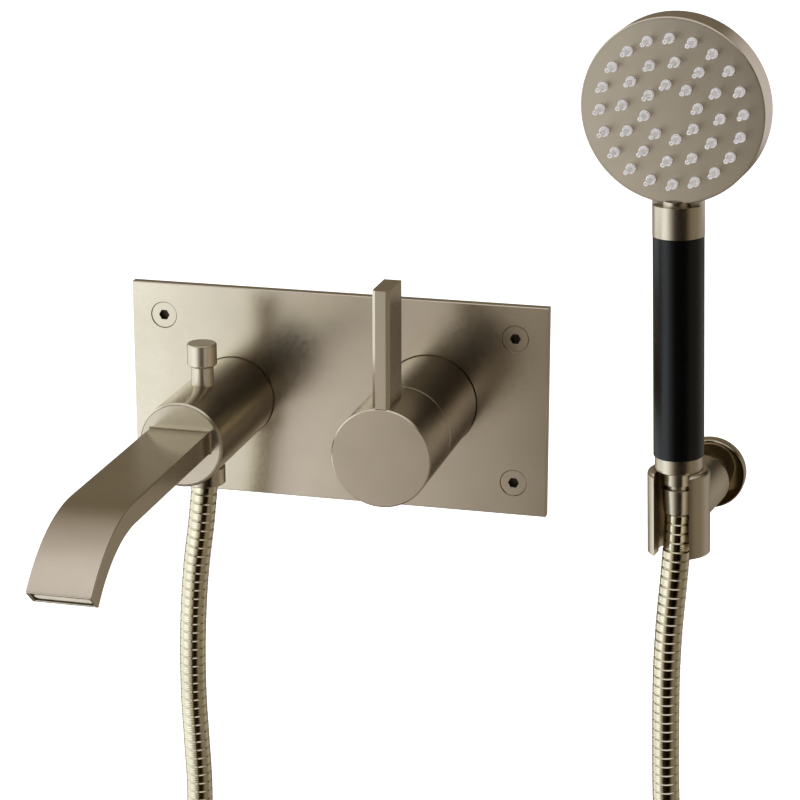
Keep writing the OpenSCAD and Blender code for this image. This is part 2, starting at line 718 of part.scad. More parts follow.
module arm() {
    cylinder(d1 = arm_d - 1.2, d2 = arm_d, h = 0.6);
    translate([0, 0, 0.6]) cylinder(d = arm_d, h = arm_reach - neck_len - 8.6);
}

// Upright tube of the cradle with a rounded lip
module cradle_shell() rotate_extrude() {
    height = cradle_top - cradle_bottom;
    lip = 2.6;
    square([cradle_d / 2, height - lip]);
    square([cradle_d / 2 - lip, height]);
    translate([cradle_d / 2 - lip, height - lip]) circle(r = lip, $fn = 48);
}

// The arm's root is a slice of a ball about the pivot, so it turns inside the rosette's opening
module ball_root() intersection() {
    sphere(d = neck_root_d);
    translate([-neck_root_d, -1, -neck_root_d]) cube([2 * neck_root_d, 4, 2 * neck_root_d]);
}

module holder_rosette() color(dark_metal) from_wall(holder_x, holder_z, 0.2) difference() {
    bevelled_disc(rosette_d, rosette_t, 0.8);
    translate([0, 0, -1]) cylinder(d = neck_root_d + 2 * gap + 0.1, h = 20);
    translate([0, 0, -1]) cylinder(d = bracket_d + 2 * fit, h = 3);
}

// The two screws lie on a slant across the bracket
module at_holder_screws(z) for (s = [-1, 1])
    rotate(wall_screw_turn) translate([s * wall_screw_x, 0, z]) children();

module holder_bracket() color(steel) from_wall(holder_x, holder_z) difference() {
    cylinder(d = bracket_d, h = bracket_t);
    translate([0, 0, -1]) cylinder(d = 3.2, h = 5);
    at_holder_screws(-1) cylinder(d = 4.2, h = 4);
}

module holder_ball_stud() color(steel) {
    holder_frame() sphere(r = ball_r);
    from_wall(holder_x, holder_z) cylinder(d = 3.1, h = 4);
}

module holder_wall_screws() color(steel) from_wall(holder_x, holder_z) at_holder_screws(-wall_screw_grip) {
    cylinder(d = wall_screw_d, h = wall_screw_grip);
    translate([0, 0, wall_screw_grip]) cylinder(d = wall_screw_neck_d, h = bracket_t);
    translate([0, 0, wall_screw_grip + bracket_t]) cylinder(d1 = 6, d2 = 5, h = 0.6);
}

// Bears on the ball from below, in front of its middle, and locks it
module holder_grub_screw() color(steel) holder_frame() translate([0, grub_y, -7.9]) difference() {
    cylinder(d = 4.1, h = 2.6);
    translate([0, 0, -1]) cylinder(d = 2.3, h = 2.4, $fn = 6);
}

wall_plate();
plate_screws();
plate_seal();
concealed_body();
gallery_plug();
body_filters();
mixer_sleeve();
cartridge_body();
cartridge_seals();
cartridge_nut();
glide_ring();
cartridge_spindle();
handle_body();
lever();
lever_screw();
handle_grub_screw();
spout_barrel();
spout_face();
spout_tube();
outlet_insert();
barrel_seal();
diverter_seat();
diverter_bonnet();
bonnet_seal();
diverter_spring();
diverter_knob();
diverter_rod();
diverter_plunger();
outlet_nipple();
lower_hose_nut();
lower_washer();
lower_ferrule();
hose();
upper_ferrule();
upper_washer();
upper_hose_nut();
tail_collar();
flow_limiter();
handle_core();
grip_sleeve();
head_shell();
spray_plate();
nozzle_mat();
head_seal();
holder_cradle();
holder_rosette();
holder_bracket();
holder_ball_stud();
holder_wall_screws();
holder_grub_screw();
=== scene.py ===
"""The looks of a wall mounted bath mixer with a hand shower. Metres, +Z up, with the wall at y = 0."""
import json
import math

import bmesh
import bpy
from mathutils import Matrix, Vector

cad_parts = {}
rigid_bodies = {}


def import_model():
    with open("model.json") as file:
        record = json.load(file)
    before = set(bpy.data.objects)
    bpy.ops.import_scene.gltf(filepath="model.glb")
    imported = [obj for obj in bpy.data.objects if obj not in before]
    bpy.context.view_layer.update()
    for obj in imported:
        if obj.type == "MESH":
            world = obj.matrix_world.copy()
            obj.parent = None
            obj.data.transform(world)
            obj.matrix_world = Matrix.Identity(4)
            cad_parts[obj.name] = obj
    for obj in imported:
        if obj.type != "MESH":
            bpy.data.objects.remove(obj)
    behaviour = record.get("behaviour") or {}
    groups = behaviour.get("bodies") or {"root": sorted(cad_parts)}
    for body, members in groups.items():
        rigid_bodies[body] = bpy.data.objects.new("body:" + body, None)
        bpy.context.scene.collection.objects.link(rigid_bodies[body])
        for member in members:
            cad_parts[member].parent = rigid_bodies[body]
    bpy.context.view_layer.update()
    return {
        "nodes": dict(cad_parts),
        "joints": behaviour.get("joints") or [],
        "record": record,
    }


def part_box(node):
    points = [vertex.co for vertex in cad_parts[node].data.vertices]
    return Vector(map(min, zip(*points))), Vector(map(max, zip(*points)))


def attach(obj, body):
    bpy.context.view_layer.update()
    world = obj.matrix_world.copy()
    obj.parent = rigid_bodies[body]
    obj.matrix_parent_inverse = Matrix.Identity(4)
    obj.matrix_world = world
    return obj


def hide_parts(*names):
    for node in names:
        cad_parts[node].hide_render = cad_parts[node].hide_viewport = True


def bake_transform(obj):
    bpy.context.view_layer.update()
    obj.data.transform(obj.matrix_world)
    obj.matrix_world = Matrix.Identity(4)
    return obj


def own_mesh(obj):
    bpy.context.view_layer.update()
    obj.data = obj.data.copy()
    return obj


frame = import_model()
scene = bpy.context.scene
MM = 0.001

# ---------------------------------------------------------------- camera

LENS_MM = 117.0
camera_data = bpy.data.cameras.new("camera")
camera_data.lens = LENS_MM
camera_data.sensor_width = 36.0
camera_data.clip_start = 0.05
camera_data.clip_end = 60.0
camera = bpy.data.objects.new("camera", camera_data)
scene.collection.objects.link(camera)
camera.location = (0.3553, -1.2328, 0.3887)
look = Vector((-0.2426, 0.9253, -0.2917))
camera.rotation_euler = look.to_track_quat("-Z", "Y").to_euler()
scene.camera = camera

# ---------------------------------------------------------------- places, read from the frame

JOINTS = {joint["name"]: joint for joint in frame["joints"]}
BODIES = {part: body for body, parts in frame["record"]["behaviour"]["bodies"].items() for part in parts}
SLOTS = {part["node"]: part["material_slot"] for part in frame["record"]["subparts"]}

# The hand shower's own frame: its origin on the turning joint, +Z up the handle, its face towards -Y
hand_axis = Vector(JOINTS["hand_turn"]["axis"]).normalized()
hand_turn = math.atan2(-hand_axis.y, -hand_axis.x)
hand_lean = -math.acos(hand_axis.z)
HAND = (Matrix.Translation(JOINTS["hand_turn"]["pos_m"])
        @ Matrix.Rotation(hand_turn, 4, "Z") @ Matrix.Rotation(hand_lean, 4, "Y"))

# ---------------------------------------------------------------- node helpers


class Graph:
    """A small wrapper that makes shader nodes and links them."""

    def __init__(self, tree):
        self.nodes = tree.nodes
        self.links = tree.links

    def add(self, kind, inputs=None, **settings):
        made = self.nodes.new(kind)
        for key, value in settings.items():
            setattr(made, key, value)
        for key, value in (inputs or {}).items():
            self.put(made.inputs[key], value)
        return made

    def put(self, socket, value):
        if isinstance(value, bpy.types.NodeSocket):
            self.links.new(value, socket)
        else:
            socket.default_value = value

    def math(self, operation, *values):
        made = self.nodes.new("ShaderNodeMath")
        made.operation = operation
        for index, value in enumerate(values):
            self.put(made.inputs[index], value)
        return made.outputs[0]

    def ramp(self, factor, stops):
        made = self.nodes.new("ShaderNodeValToRGB")
        self.put(made.inputs[0], factor)
        band = made.color_ramp
        while len(band.elements) < len(stops):
            band.elements.new(0.5)
        for element, (place, colour) in zip(band.elements, stops):
            element.position = place
            element.color = (*colour, 1.0)
        return made.outputs[0]

    def step(self, value, low, high):
        """Rises smoothly from 0 at low to 1 at high; falls if low is above high."""
        made = self.nodes.new("ShaderNodeMapRange")
        made.interpolation_type = "SMOOTHSTEP"
        flip = low > high
        self.put(made.inputs["Value"], value)
        made.inputs["From Min"].default_value = min(low, high)
        made.inputs["From Max"].default_value = max(low, high)
        made.inputs["To Min"].default_value = 1.0 if flip else 0.0
        made.inputs["To Max"].default_value = 0.0 if flip else 1.0
        return made.outputs["Result"]


MIX_A, MIX_B, MIX_RESULT = 6, 7, 2  # the colour sockets of a Mix node
# How much sharp edges are painted brighter: a painted highlight along the edges.
EDGE_HIGHLIGHT = 0.05
METAL_BUMP = 0.01
BUMP_DEPTH = 0.0001


def new_material(name):
    """A material with an empty graph and its Principled shader, wired to the output."""
    made = bpy.data.materials.new(name)
    made.use_nodes = True
    graph = Graph(made.node_tree)
    graph.nodes.clear()
    shader = graph.add("ShaderNodeBsdfPrincipled")
    output = graph.add("ShaderNodeOutputMaterial")
    graph.links.new(shader.outputs[0], output.inputs[0])
    return made, graph, shader


def around(colour, amount):
    """Two colours a little below and above the given one."""
    return [tuple(c * (1 - amount) for c in colour), tuple(c * (1 + amount) for c in colour)]


def metal(name, colour, rough, vary=0.04, rough_vary=0.03, grain=(1, 1, 1), grain_scale=900.0):
    """Metal with a cloudy tone, a fine grain that may run one way, and sharp edges painted brighter as a
    highlight.
    """
    made, graph, shader = new_material(name)
    place = graph.add("ShaderNodeTexCoord").outputs["Object"]
    cloud = graph.add("ShaderNodeTexNoise", {"Vector": place, "Scale": 38.0, "Detail": 3.0})
    stretched = graph.add("ShaderNodeMapping", {"Vector": place, "Scale": grain})
    lines = graph.add("ShaderNodeTexNoise",
                      {"Vector": stretched.outputs[0], "Scale": grain_scale, "Detail": 2.0})
    low, high = around(colour, vary)
    tone = graph.ramp(cloud.outputs[0], [(0.3, low), (0.7, high)])
    # Painted highlight: sharp edges, found by their pointiness, get a slightly brighter base colour.
    edge = graph.ramp(graph.add("ShaderNodeNewGeometry").outputs["Pointiness"],
                      [(0.5, (0, 0, 0)), (0.6, (1, 1, 1))])
    highlight_colour = (*[min(1.0, c * 1.25) for c in colour], 1.0)
    edge_highlight = graph.math("MULTIPLY", edge, EDGE_HIGHLIGHT)
    highlighted = graph.add("ShaderNodeMix", {"Factor": edge_highlight, MIX_A: tone, MIX_B: highlight_colour}, data_type="RGBA")
    graph.put(shader.inputs["Base Color"], highlighted.outputs[MIX_RESULT])
    shader.inputs["Metallic"].default_value = 1.0
    fine = graph.add("ShaderNodeMapRange", {"Value": lines.outputs[0], "From Min": 0.3, "From Max": 0.7,
                                            "To Min": rough - rough_vary, "To Max": rough + rough_vary})
    graph.put(shader.inputs["Roughness"], fine.outputs[0])
    relief = graph.add("ShaderNodeBump", {"Height": lines.outputs[0], "Strength": METAL_BUMP,
                                          "Distance": BUMP_DEPTH})
    graph.put(shader.inputs["Normal"], relief.outputs[0])
    return made


def matter(name, colour, rough, vary=0.1, grain_scale=600.0, bump=0.1, **values):
    """Plastic or rubber with a moulded skin; values are further sockets of the shader."""
    made, graph, shader = new_material(name)
    place = graph.add("ShaderNodeTexCoord").outputs["Object"]
    cloud = graph.add("ShaderNodeTexNoise", {"Vector": place, "Scale": 60.0, "Detail": 3.0})
    skin = graph.add("ShaderNodeTexNoise", {"Vector": place, "Scale": grain_scale, "Detail": 4.0})
    low, high = around(colour, vary)
    graph.put(shader.inputs["Base Color"], graph.ramp(cloud.outputs[0], [(0.3, low), (0.7, high)]))
    fine = graph.add("ShaderNodeMapRange", {"Value": skin.outputs[0], "From Min": 0.3, "From Max": 0.7,
                                            "To Min": rough - 0.04, "To Max": rough + 0.04})
    graph.put(shader.inputs["Roughness"], fine.outputs[0])
    relief = graph.add("ShaderNodeBump", {"Height": skin.outputs[0], "Strength": bump,
                                          "Distance": BUMP_DEPTH})
    graph.put(shader.inputs["Normal"], relief.outputs[0])
    for key, value in values.items():
        shader.inputs[key.replace("_", " ")].default_value = value
    return made


BRONZE = (0.60, 0.525, 0.405)
MATERIALS = {
    "satin_bronze": metal("satin_bronze", BRONZE, 0.235),
    "shower_bronze": metal("shower_bronze", BRONZE, 0.33),
    "polished_bronze": metal("polished_bronze", (0.56, 0.48, 0.34), 0.07, rough_vary=0.02),
    "hose_bronze": metal("hose_bronze", (0.66, 0.59, 0.43), 0.15),
    "plain_brass": metal("plain_brass", (0.72, 0.55, 0.27), 0.32, vary=0.08, grain=(1, 30, 1),
                         grain_scale=200.0),
    "stainless_steel": metal("stainless_steel", (0.58, 0.58, 0.59), 0.25, grain=(30, 30, 1),
                             grain_scale=120.0),
    "black_grip": matter("black_grip", (0.002, 0.002, 0.0021), 0.30, grain_scale=2600.0, bump=0.06,
                         Specular_IOR_Level=0.34),
    "black_rubber": matter("black_rubber", (0.018, 0.018, 0.018), 0.55),
    "inner_plastic": matter("inner_plastic", (0.82, 0.73, 0.60), 0.35),
    # The silicone's faint white emission is painted light: it makes the nozzles glow a little brighter than
    # the lamps alone would.
    "clear_silicone": matter("clear_silicone", (0.95, 0.93, 0.92), 0.12, vary=0.02, bump=0.03,
                             Coat_Weight=0.6, Emission_Color=(1.0, 0.97, 0.95, 1.0),
                             Emission_Strength=0.10),
    # Painted shade: a dark brown for the insides of the screw sockets and of the spout's mouth.
    "socket_dark": matter("socket_dark", (0.055, 0.04, 0.014), 0.6),
}
# The slots' own names, apart from the duller pieces and the pale lip in the outlet
FINISHES = {**SLOTS, "outlet_insert": "inner_plastic"}
for dull_node in ("head_shell", "spray_plate", "tail_collar", "upper_hose_nut", "upper_ferrule",
                  "holder_cradle", "diverter_knob", "diverter_bonnet"):
    FINISHES[dull_node] = "shower_bronze"
for cad_node, cad_object in frame["nodes"].items():
    cad_object.data.materials.clear()
    cad_object.data.materials.append(MATERIALS[FINISHES[cad_node]])

# ---------------------------------------------------------------- mesh helpers


def smooth(obj):
    """Shades every face smoothly."""
    for face in obj.data.polygons:
        face.use_smooth = True


def finish_piece(obj, body, slot, replaced, sharp=35.0, finish=None):
    """Smooths a piece with true flats, gives it a material and says what it rides on and replaces."""
    smooth(obj)
    obj.data.set_sharp_from_angle(angle=math.radians(sharp))
    weighted = obj.modifiers.new("flats", "WEIGHTED_NORMAL")
    weighted.keep_sharp = True
    weighted.weight = 100
    obj.data.materials.append(MATERIALS[finish or slot])
    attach(obj, body)
    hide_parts(replaced)
    return obj


def to_object(mesh_maker, name):
    """A new object from a bmesh."""
    data = bpy.data.meshes.new(name)
    bmesh.ops.recalc_face_normals(mesh_maker, faces=mesh_maker.faces)
    mesh_maker.to_mesh(data)
    mesh_maker.free()
    made = bpy.data.objects.new(name, data)
    scene.collection.objects.link(made)
    return made


def ring_angles(count):
    """Evenly spaced angles round a full turn."""
    return [2 * math.pi * k / count for k in range(count)]


def bridge(maker, one, two):
    """Joins two rings of as many points with a band of four-sided faces."""
    band = []
    for k in range(len(one)):
        nxt = (k + 1) % len(one)
        band.append(maker.faces.new((one[k], one[nxt], two[nxt], two[k])))
    return band


def tube(maker, rings):
    """A closed solid through a row of rings, with flat ends. Returns the last band and the last end."""
    for one, two in zip(rings, rings[1:]):
        band = bridge(maker, one, two)
    maker.faces.new(rings[0])
    return band, maker.faces.new(rings[-1])


def rounded(points, steps=5):
    """An outline of (a, b, fillet) points, with each fillet drawn as an arc."""
    outline = []
    for index, (a, b, fillet) in enumerate(points):
        here = Vector((a, b))
        if fillet <= 0:
            outline.append(here)
            continue
        before = (Vector(points[index - 1][:2]) - here).normalized()
        after = (Vector(points[(index + 1) % len(points)][:2]) - here).normalized()
        half = before.angle(after) / 2
        reach = fillet / math.tan(half)
        centre = here + (before + after).normalized() * fillet / math.sin(half)
        start = here + before * reach - centre
        end = here + after * reach - centre
        turn = start.angle_signed(end)
        for step in range(steps + 1):
            outline.append(centre + Matrix.Rotation(-turn * step / steps, 2) @ start)
    return outline


ON_AXIS = 1e-7


def lathe(name, points, placed, segments):
    """Turns an outline of (radius, height, fillet) in mm about local Z. It starts and ends on the axis."""
    outline = rounded([(r * MM, h * MM, f * MM) for r, h, f in points])
    maker = bmesh.new()
    rings = []
    for r, h in outline:
        if r < ON_AXIS:
            rings.append([maker.verts.new(placed @ Vector((0, 0, h)))])
            continue
        rings.append([maker.verts.new(placed @ Vector((r * math.cos(a), r * math.sin(a), h)))
                      for a in ring_angles(segments)])
    for one, two in zip(rings, rings[1:]):
        if len(one) == len(two):
            bridge(maker, one, two)
            continue
        tip, ring = (one[0], two) if len(one) == 1 else (two[0], one)
        for k in range(segments):
            maker.faces.new((tip, ring[k], ring[(k + 1) % segments]))
    return to_object(maker, name)


def apply_modifiers(obj):
    """Bakes the object's modifiers into its mesh."""
    depsgraph = bpy.context.evaluated_depsgraph_get()
    data = bpy.data.meshes.new_from_object(obj.evaluated_get(depsgraph))
    obj.modifiers.clear()
    old = obj.data
    obj.data = data
    bpy.data.meshes.remove(old)


# ---------------------------------------------------------------- pieces with softened edges


def soften(node, width):
    """A finer piece in place of a CAD node: its flats are joined up and its edges rounded."""
    source = frame["nodes"][node]
    made = bpy.data.objects.new(node + "_soft", source.data.copy())
    made.data.materials.clear()
    made.matrix_world = source.matrix_world.copy()
    scene.collection.objects.link(made)
    maker = bmesh.new()
    maker.from_mesh(made.data)
    bmesh.ops.remove_doubles(maker, verts=maker.verts, dist=2e-6)
    bmesh.ops.dissolve_limit(maker, angle_limit=math.radians(0.4), verts=maker.verts, edges=maker.edges,
                             use_dissolve_boundaries=False)
    maker.to_mesh(made.data)
    maker.free()
    shape = made.modifiers.new("round", "BEVEL")
    shape.width = width
    shape.segments = 3
    shape.limit_method = "ANGLE"
    shape.angle_limit = math.radians(25)
    shape.use_clamp_overlap = True
    apply_modifiers(made)
    return finish_piece(made, BODIES[node], SLOTS[node], node, finish=FINISHES[node])


# Width of each piece's rounded edges, in mm
SOFT_EDGES = {
    "wall_plate": 0.3, "mixer_sleeve": 0.2, "handle_body": 0.25, "lever": 0.3, "spout_barrel": 0.25,
    "spout_face": 0.45, "diverter_bonnet": 0.2, "outlet_nipple": 0.2, "lower_hose_nut": 0.3,
    "upper_hose_nut": 0.3, "tail_collar": 0.2, "grip_sleeve": 0.2, "holder_cradle": 0.35,
    "holder_rosette": 0.6, "outlet_insert": 0.5, "diverter_knob": 0.3}
for soft_node, soft_width in SOFT_EDGES.items():
    soften(soft_node, soft_width * MM)


def plate_screw_pieces():
    """The plate's screws, with their sockets painted dark as shade."""
    made = soften("plate_screws", 0.3 * MM)
    made.data.materials.append(MATERIALS["socket_dark"])
    screw_r, socket_r, head_front = 6.6 * MM, 2.95 * MM, -4.4 * MM
    low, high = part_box("plate_screws")
    centres = [(x, z) for x in (low[0] + screw_r, high[0] - screw_r)
               for z in (low[2] + screw_r, high[2] - screw_r)]
    # Faces inside each socket get the dark material: painted shade in the recess.
    for face in made.data.polygons:
        at = made.matrix_world @ face.center
        reach = min(math.hypot(at.x - x, at.z - z) for x, z in centres)
        if reach < socket_r and head_front < at.y < 0:
            face.material_index = 1


plate_screw_pieces()


def spout_piece():
    """The flat spout as one clean sweep: a lip at its root, rounded edges, and a mouth at its end, its
    inside painted dark as shade.
    """
    low, high = (Vector(corner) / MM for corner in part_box("spout_tube"))
    width, centre_x, root_y, top_z = high.x - low.x, (low.x + high.x) / 2, high.y, high.z
    face_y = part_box("spout_face")[0][1] / MM
    thick, wall, corner = 11.0, 1.5, 0.75
    bend_y, bend_r, bend_angle = -194.0, 75.0, math.radians(48.5)
    straight_steps, bend_steps = 8, 40
    # straight run past the bend, and how deep the mouth goes in
    tip, mouth = 1.0, 14.0

    def section(y, z, angle, inset, radius, shift=0.0):
        """A rounded rectangle whose top edge is at y, z, square to the path."""
        y, z = y - shift * math.cos(angle), z - shift * math.sin(angle)
        half, bottom, top = width / 2 - inset, -thick + inset, -inset
        corners = [(half, top, radius), (half, bottom, radius), (-half, bottom, radius),
                   (-half, top, radius)]
        return [Vector((centre_x + a, y - b * math.sin(angle), z + b * math.cos(angle))) * MM
                for a, b in rounded(corners, 4)]

    lip, lip_depth = 0.45, 0.5
    rings = [section(y, top_z, 0.0, inset, corner - inset) for inset, y in [
        (0.0, root_y), (0.0, face_y), (-lip, face_y), (-lip, face_y - lip_depth),
        (0.0, face_y - lip_depth - lip)]]
    for k in range(1, straight_steps + 1):
        rings.append(section(root_y + (bend_y - root_y) * k / straight_steps, top_z, 0.0, 0.0, corner))
    for k in range(1, bend_steps + 1):
        angle = bend_angle * k / bend_steps
        end_y, end_z = bend_y - bend_r * math.sin(angle), top_z - bend_r + bend_r * math.cos(angle)
        rings.append(section(end_y, end_z, angle, 0.0, corner))
    edge, start = 0.3, 0.09
    for inset, radius, shift in [(0.0, corner, tip - edge), (start, 0.6, tip - start), (edge, 0.4, tip),
                                 (wall - edge, 0.4, tip), (wall - start, 0.4, tip - start),
                                 (wall, 0.4, tip - edge), (wall, 0.4, tip - mouth)]:
        rings.append(section(end_y, end_z, bend_angle, inset, radius, shift))
    maker = bmesh.new()
    mouth_sides, mouth_end = tube(maker, [[maker.verts.new(point) for point in ring] for ring in rings])
    # The mouth's inner walls and end are painted dark: painted shade inside the recess.
    for face in [*mouth_sides, mouth_end]:
        face.material_index = 1
    made = finish_piece(to_object(maker, "spout_flat"), "wall_set", "satin_bronze", "spout_tube", sharp=50)
    made.data.materials.append(MATERIALS["socket_dark"])


spout_piece()


def spring_piece():
    """The diverter's return spring, with its end turns flat."""
    turns, wire, sides, steps = 5, 0.8 * MM, 12, 240
    flat = 0.5 / turns  # the share of the wire in each flat half turn
    low, high = (Vector(corner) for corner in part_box("diverter_spring"))
    coil_r = (high.x - low.x - wire) / 2
    centre = (low + high) / 2
    rise = high.z - low.z - wire
    maker = bmesh.new()
    rings = []
    for step in range(steps + 1):
        share = step / steps
        turn = 2 * math.pi * turns * share
        climb = min(1.0, max(0.0, (share - flat) / (1 - 2 * flat)))
        outward = Vector((math.cos(turn), math.sin(turn), 0))
        wire_middle = Vector((centre.x, centre.y, low.z + wire / 2 + rise * climb)) + outward * coil_r
        rings.append([maker.verts.new(wire_middle + outward * wire / 2 * math.cos(a)
                                      + Vector((0, 0, wire / 2 * math.sin(a))))
                      for a in ring_angles(sides)])
    tube(maker, rings)
    made = finish_piece(to_object(maker, "return_spring"), "wall_set", "stainless_steel", "diverter_spring",
                        sharp=60)
    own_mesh(made)


spring_piece()

# ---------------------------------------------------------------- nozzles

HEAD_R = 43.75 * MM
FACE_OUT = 11.0 * MM
HEAD_RISE = 166.0 * MM
HEAD_TILT = math.radians(4)
# The spray face's own frame, +Z out of it
HEAD = (HAND @ Matrix.Translation((0, -FACE_OUT, HEAD_RISE))
        @ Matrix.Rotation(math.pi / 2 + HEAD_TILT, 4, "X"))
# Each ring's share of the head's radius, count and start angle
NOZZLE_RINGS = [(0.293, 8, 9.4), (0.531, 12, 24.2), (0.778, 20, 0.0)]
# Half outlines of one nozzle and of the mat behind the face: radius, height and fillet, in mm
NOZZLE_OUTLINE = [(0.0, 7.3, 0), (0.55, 7.5, 0.1), (0.6, 8.5, 0.1), (1.1, 8.5, 0.3), (1.5, 1.6, 0.4),
                  (1.6, 0.1, 0.1), (1.85, 0.1, 0.1), (1.9, 1.1, 0.15), (2.42, 1.1, 0.22), (2.45, -2.3, 0)]
MAT_OUTLINE = [(0, -4.3, 0), (40.2, -4.3, 0.3), (40.2, -2.4, 0.3), (0, -2.4, 0)]


def nozzle_piece():
    """The silicone mat. Each nozzle has a rounded collar, a dished step and a tapering tip with its bore."""
    parts = [lathe("mat", MAT_OUTLINE, HEAD, 64)]
    for share, count, start in NOZZLE_RINGS:
        out = share * HEAD_R
        for turn in ring_angles(count):
            angle = math.radians(start) + turn
            place = HEAD @ Matrix.Translation((out * math.cos(angle), out * math.sin(angle), 0))
            parts.append(lathe("nozzle", NOZZLE_OUTLINE, place, 28))
    maker = bmesh.new()
    for part in parts:
        maker.from_mesh(part.data)
        bpy.data.objects.remove(part)
    finish_piece(to_object(maker, "spray_nozzles"), "hand_shower", "clear_silicone", "nozzle_mat", sharp=50)


nozzle_piece()

# ---------------------------------------------------------------- hose

# The route of the CAD hose, in mm
ROUTE_MM = [
    (-55.5, -54.5, -34.1), (-56.5, -55, -45), (-58, -55, -58), (-61, -55, -80), (-63, -55, -104),
    (-64, -55, -128), (-64, -55, -152), (-63, -55, -176), (-62, -55, -203), (-63, -55, -235),
    (-66, -55, -268), (-71, -55, -301), (-76, -56, -334), (-79, -56, -367), (-78, -56, -400),
    (-72, -56, -432), (-60, -56, -463), (-42, -56, -491), (-18, -56, -514), (11, -57, -531),
    (43, -57, -541), (76, -57, -543), (109, -57, -536), (138, -58, -521), (163, -58, -499),
    (182, -58, -471), (195, -58, -440), (202, -58, -407), (204, -58, -373), (203, -59, -339),
    (199, -59, -305), (194, -59, -272), (189, -59, -238), (186, -59, -204), (184, -59, -171),
    (183, -59, -140), (182.5, -59, -113), (183, -59, -88), (184.4, -58.8, -64), (185.4, -58.6, -45),
    (185.9, -58.5, -26.65)]
HOSE_D = 13.5 * MM
RING_PITCH = 4.7 * MM
CURVE_STEPS = 24


def smooth_path(points, spacing):
    """Points an even distance apart on a smooth curve through the given ones, and the curve's length."""
    fine = []
    for k in range(len(points) - 1):
        p0 = points[max(k - 1, 0)]
        p1 = points[k]
        p2 = points[k + 1]
        p3 = points[min(k + 2, len(points) - 1)]
        for step in range(CURVE_STEPS):
            t = step / CURVE_STEPS
            fine.append(0.5 * ((2 * p1) + (p2 - p0) * t + (2 * p0 - 5 * p1 + 4 * p2 - p3) * t * t
                               + (3 * p1 - p0 - 3 * p2 + p3) * t ** 3))
    fine.append(points[-1])
    travelled = [0.0]
    for a, b in zip(fine, fine[1:]):
        travelled.append(travelled[-1] + (b - a).length)
    count = round(travelled[-1] / spacing)
    even = []
    at = 0
    for k in range(count + 1):
        goal = travelled[-1] * k / count
        while at < len(fine) - 2 and travelled[at + 1] < goal:
            at += 1
        span = travelled[at + 1] - travelled[at]
        even.append(fine[at].lerp(fine[at + 1], (goal - travelled[at]) / span))
    return even, travelled[-1]


def band_profile():
    """One pitch of the hose: a shallow V where two bands meet, then three fine ripples.

    Each pair is a share of the pitch and a share of the hose's radius.
    """
    ripple_start, ripple_length, ripple_points = 0.17, 0.66, 12
    ripples = [(ripple_start + ripple_length * k / ripple_points, 0.991 + 0.009 * math.cos(math.pi * k / 2))
               for k in range(ripple_points + 1)]
    return [(0.00, 0.90), (0.05, 0.915), (0.11, 0.975), (0.14, 0.988), *ripples,
            (0.87, 0.986), (0.91, 0.965), (0.97, 0.91)]


def hose_piece(route):
    """A wound metal hose: one convex band per pitch, with a narrow groove where the strip locks."""
    samples, sides, reach = 40, 36, 6
    path, length = smooth_path(route, RING_PITCH / samples)
    last = len(path) - 1
    ring_count = round(length / RING_PITCH)
    maker = bmesh.new()
    rings = []
    for turn in range(ring_count):
        for share, radius in band_profile():
            place = (turn + share) / ring_count * last
            index = min(int(place), last - 1)
            centre = path[index].lerp(path[index + 1], place - index)
            along = (path[min(index + reach, last)] - path[max(index - reach, 0)]).normalized()
            side = along.cross(Vector((0, 1, 0))).normalized()
            front = along.cross(side)
            r = HOSE_D / 2 * radius
            rings.append([maker.verts.new(centre + side * r * math.cos(a) + front * r * math.sin(a))
                          for a in ring_angles(sides)])
    tube(maker, rings)
    made = to_object(maker, "metal_hose")
    smooth(made)
    made.data.materials.append(MATERIALS["hose_bronze"])
    return made


hose_route = [Vector(point) * MM for point in ROUTE_MM]
hose = hose_piece(hose_route)
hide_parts("hose")
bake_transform(hose)

# ---------------------------------------------------------------- stage and light

FLOOR_Z = -0.62
UPRIGHT = math.radians(90)  # the turn about X that stands a flat card up


def flat_card(name, half_side):
    """A flat square about the origin."""
    maker = bmesh.new()
    bmesh.ops.create_grid(maker, x_segments=1, y_segments=1, size=half_side)
    return to_object(maker, name)


def pale_floor():
    """A plain pale floor, far below the hose's loop."""
    made, _, shader = new_material("pale_floor")
    shader.inputs["Base Color"].default_value = (0.9, 0.9, 0.9, 1)
    shader.inputs["Roughness"].default_value = 0.8
    shader.inputs["Emission Color"].default_value = (1, 1, 1, 1)
    shader.inputs["Emission Strength"].default_value = 0.9
    floor = flat_card("floor", 30.0)
    floor.location = (0, 0, FLOOR_Z)
    floor.data.materials.append(made)
    floor.visible_glossy = False


BLUR_UP = 10.0
DARKEST = 0.012
BRIGHTEST = 1.6


